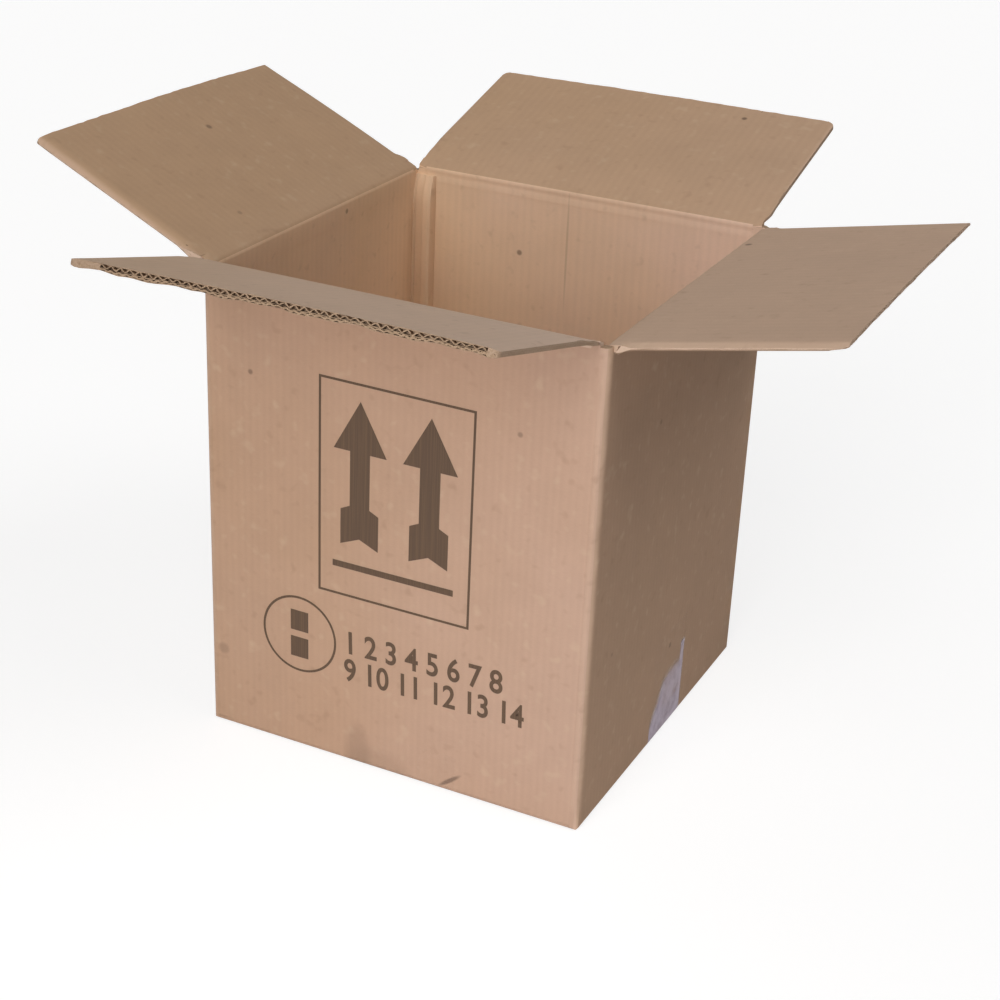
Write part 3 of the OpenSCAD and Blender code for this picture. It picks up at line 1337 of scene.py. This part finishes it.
@dataclass
class FrontPrint:
    """Printing on the front wall: framed arrows, a ring with two blocks and rows of numbers.

    The outlines are in millimetres, along X and Z of the wall.
    """

    blank: Blank
    finishes: Finishes
    proud: float = 0.12 * MM
    stroke: float = 2.1
    border: Outline = ((-66.6, 157.4), (71.4, 157.8), (71.4, 344.9), (-66.6, 345.9))
    bar: Outline = ((-53.2, 182.8), (56.5, 183.4), (56.5, 189), (-53.2, 188.4))
    arrow_half: Outline = (
        *((0, 211.8), (17.3, 204.4), (17.3, 235.5), (9, 239.5)),
        *((9, 287), (24, 287), (0, 330.5)),
    )
    arrow_places: tuple[float, float] = (-28.8, 33.6)
    ring_place: tuple[float, float] = (-85, 109.4)
    ring_r: float = 34.4
    ring_corners: int = 72
    block: Outline = ((-8.5, 0), (8.5, 0), (8.5, 19), (-8.5, 19))
    block_places: tuple[float, float] = (-22, 3)
    row_left: float = -42
    row_tilt: float = math.radians(1.4)
    number_h: float = 29
    number_bold: float = 0.55
    rows: tuple[tuple[str, float, float], ...] = (
        ("1 2 3 4 5 6 7 8", 104.8, 141),
        ("9 10 11 12 13 14", 78.9, 165),
    )

    def build(self) -> list[Piece]:
        """Models the printed shapes.

        Returns:
            The printed pieces, flat on the wall.
        """
        return [
            self.ink_on("handling_arrows_print", self.arrows()),
            self.ink_on("round_mark_print", self.round_mark()),
            self.ink_on("number_rows_print", [self.row(*row) for row in self.rows]),
        ]

    def ink_on(self, name: str, shapes: list[Piece]) -> Piece:
        """Stands flat shapes up on the wall as a film of ink.

        Args:
            name: Name of the print.
            shapes: Shapes drawn in X and Y, for X and Z.

        Returns:
            The print, in one piece.
        """
        piece = join(name, shapes)
        wall = Matrix.Translation((0, -self.blank.half_d - self.proud, 0))
        settle(piece, wall @ Matrix.Rotation(math.pi / 2, 4, "X"))
        dress(piece, self.finishes.ink)
        return piece

    def shape(self, outline: Outline, x: float = 0, y: float = 0, hollow: bool = False) -> Piece:
        """Draws one flat shape.

        Args:
            outline: Its corners, in millimetres.
            x: How far it is moved along X.
            y: How far it is moved along Y.
            hollow: Whether only its outer line stays.

        Returns:
            The shape.
        """
        piece = flat_outline([((x + a) * MM, (y + b) * MM) for a, b in outline])
        if hollow:
            with editing(piece, "FACE"):
                bpy.ops.mesh.inset(thickness=self.stroke * MM)
                bpy.ops.mesh.delete(type="FACE")
        return piece

    def arrows(self) -> list[Piece]:
        """Two fletched arrows over a bar, in a frame."""
        arrow = [*self.arrow_half, *((-a, b) for a, b in self.arrow_half[-2:0:-1])]
        arrows = [self.shape(arrow, x) for x in self.arrow_places]
        return [self.shape(self.border, hollow=True), self.shape(self.bar), *arrows]

    def round_mark(self) -> list[Piece]:
        """A ring with two plain blocks, one over the other.

        Returns:
            The flat shapes.
        """
        x, y = self.ring_place
        radius = self.ring_r + self.stroke / 2
        turns = [2 * math.pi * i / self.ring_corners for i in range(self.ring_corners)]
        circle = [(radius * math.cos(turn), radius * math.sin(turn)) for turn in turns]
        blocks = [self.shape(self.block, x, y + low) for low in self.block_places]
        return [self.shape(circle, x, y, hollow=True), *blocks]

    def row(self, words: str, low: float, width: float) -> Piece:
        """One row of plain counting numbers.

        Args:
            words: The numbers.
            low: Height of the row, in millimetres.
            width: Its width, in millimetres.

        Returns:
            The flat shape.
        """
        place = (self.row_left * MM, low * MM, 0)
        bpy.ops.object.text_add(location=place, rotation=(0, 0, self.row_tilt))
        row = bpy.context.active_object
        row.data.body = words
        row.data.size = self.number_h * MM
        row.data.offset = self.number_bold * MM
        bpy.ops.object.convert(target="MESH")
        row.scale.x = width * MM / row.dimensions.x
        settle(row)
        with editing(row, "FACE"):
            bpy.ops.mesh.quads_convert_to_tris()
        return row


def film_over(node: str, film: Material) -> Piece:
    """Models a strip of clear tape over its CAD node.

    Args:
        node: The tape's CAD node.
        film: Its material.

    Returns:
        The strip.
    """
    strip = copy_node(node, f"{node}_film")
    with editing(strip):
        bpy.ops.mesh.dissolve_limited(angle_limit=math.radians(0.5))
    dress(strip, film)
    return strip


@dataclass(frozen=True)
class Lamp:
    """A soft lamp: where it shines to, how strongly and how wide it is.

    A lamp without a place is far away, and its width is the angle that it fills.
    """

    name: str
    toward: tuple[float, float, float]
    energy: float
    width: float = math.radians(35)
    place: tuple[float, float, float] | None = None

    def build(self) -> None:
        """Adds the lamp."""
        kind, width = ("AREA", "size") if self.place else ("SUN", "angle")
        bpy.ops.object.light_add(type=kind, location=self.place or (0, 0, 0))
        lamp = bpy.context.active_object
        lamp.name = self.name
        lamp.rotation_euler = Vector(self.toward).to_track_quat("-Z", "Y").to_euler()
        lamp.data.energy = self.energy
        setattr(lamp.data, width, self.width)


@dataclass
class Studio:
    """Pale floor, soft lights and the camera at the photograph's angle.

    The last lamp is a soft box before the right half of the front wall, which it
    brightens a little.
    """

    target: Vector
    azimuth: float = 25.37
    elevation: float = 25.24
    roll: float = 2.57
    distance: float = 1.6947
    lens: float = 70.13
    sky: float = 0.02
    floor_w: float = 40
    floor_gap: float = 0.05 * MM
    glow: float = 1.3
    glow_share: float = 0.6
    lamps: tuple[Lamp, ...] = (
        Lamp("key_light", (0, 1, -0.45), 1.12),
        Lamp("high_light", (0, 1, -1.3), 0.57),
        Lamp("right_light", (-1, 0, -1.3), 0.86),
        Lamp("left_light", (1, 0, -1.3), 0.2),
        Lamp("near_light", (0, 1, -0.1), 1.9, width=0.5, place=(0.22, -0.95, 0.42)),
    )

    def build(self) -> None:
        """Sets the scene round the object."""
        self.floor()
        self.world()
        for lamp in self.lamps:
            lamp.build()
        self.camera()
        bpy.context.scene.view_settings.view_transform = "Standard"

    def seen(self, nodes: Nodes) -> Socket:
        """Where the floor and the sky are looked at, straight or in a reflection.

        Args:
            nodes: The nodes that it joins.

        Returns:
            1 for such a ray and 0 for others.
        """
        path = nodes.add("LightPath", {}).node.outputs
        ray = path["Is Camera Ray"]
        for other in ("Is Glossy Ray", "Is Transmission Ray"):
            ray = nodes.add("Math", {0: ray, 1: path[other]}, operation="MAXIMUM")
        return ray

    def floor(self) -> None:
        """A pale floor that looks white and keeps the object's shadow."""
        bpy.ops.mesh.primitive_plane_add(size=self.floor_w, location=(0, 0, -self.floor_gap))
        floor = bpy.context.active_object
        floor.name = "floor"
        material = bpy.data.materials.new("pale_floor")
        nodes = Nodes.of(material)
        paint = nodes.add("BsdfDiffuse", {"Color": linear("#e6e5e4")})
        glow = nodes.add("Emission", {"Color": linear("#ffffff"), "Strength": self.glow})
        share = nodes.add("Math", {0: self.seen(nodes), 1: self.glow_share}, operation="MULTIPLY")
        mixed = nodes.add("MixShader", {0: share, 1: paint, 2: glow})
        nodes.add("OutputMaterial", {"Surface": mixed})
        dress(floor, material)

    def world(self) -> None:
        """Even light from all round, and white where it is looked at."""
        world = bpy.data.worlds.new("soft_room")
        bpy.context.scene.world = world
        nodes = Nodes.of(world)
        light = nodes.add("Background", {"Color": linear("#f6f8ff"), "Strength": self.sky})
        white = nodes.add("Background", {"Color": linear("#ffffff"), "Strength": 1})
        mixed = nodes.add("MixShader", {0: self.seen(nodes), 1: light, 2: white})
        nodes.add("OutputWorld", {"Surface": mixed})

    def camera(self) -> None:
        """The camera, placed round the target."""
        azimuth, elevation = math.radians(self.azimuth), math.radians(self.elevation)
        level, up = math.cos(elevation), math.sin(elevation)
        back = Vector((math.sin(azimuth) * level, -math.cos(azimuth) * level, up))
        right = Vector((math.cos(azimuth), math.sin(azimuth), 0))
        upright = Matrix((right, back.cross(right), back)).transposed()
        turn = upright @ Matrix.Rotation(math.radians(self.roll), 3, "Z")
        data = bpy.data.cameras.new("camera")
        data.lens = self.lens
        data.sensor_width = 36
        data.clip_end = 100
        camera = bpy.data.objects.new("camera", data)
        bpy.context.scene.collection.objects.link(camera)
        camera.matrix_world = Matrix.Translation(self.target + back * self.distance) @ turn.to_4x4()
        bpy.context.scene.camera = camera


def report(piece: Piece) -> None:
    """Logs a finished piece with its number of faces."""
    log.info("%s: %d faces", piece.name, len(piece.data.polygons))


def main() -> None:
    """Builds the box, its print and tape, and the studio."""
    blank = Blank.from_frame()
    finishes = Finishes(blank)
    carton = CartonShell(blank, finishes)
    report(carton.build())
    marks = [*FrontPrint(blank, finishes).build(), GlueTab(blank, finishes).build()]
    nodes = ("seam_tape", "cross_tape")
    strips = [film_over(node, finishes.film) for node in nodes]
    for piece in [*marks, *strips]:
        carton.cut_grid(piece)
    carton.bend(*marks, *strips)
    for piece, node in zip([*marks, *strips], [*[None] * len(marks), *nodes]):
        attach(piece, "carton")
        if node:
            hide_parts(node)
        report(piece)
    whole = (blank.minor_half, blank.minor_half)
    shapes: dict[Side, dict[str, object]] = {
        Side.FRONT: dict(spread=(0, 2 * MM), closed_ends=(8 * MM, 26 * MM), edge_crush=2.3 * MM),
        Side.BACK: dict(spread=(0, 4 * MM), corner_r=5 * MM),
        Side.LEFT: dict(spread=(7.3 * MM, 0), corner_lift=(0, -5 * MM), pinch=0.78),
        Side.RIGHT: dict(
            closed_ends=whole, edge_crush=4.6 * MM, ragged=0.12, pinch=0.8, pinch_from=5 * MM
        ),
    }
    for number, side in enumerate(Side, start=1):
        hinge = Hinge.of(side, blank)
        report(TopFlap(hinge, blank, finishes, seed=number, **shapes[side]).build())
        report(FoldCrease(hinge, blank, finishes, seed=number).build())
    Studio(target=Vector((10.5 * MM, 0, 185.3 * MM))).build()


if __name__ == "__main__":
    logging.basicConfig(level=logging.INFO)
    main()
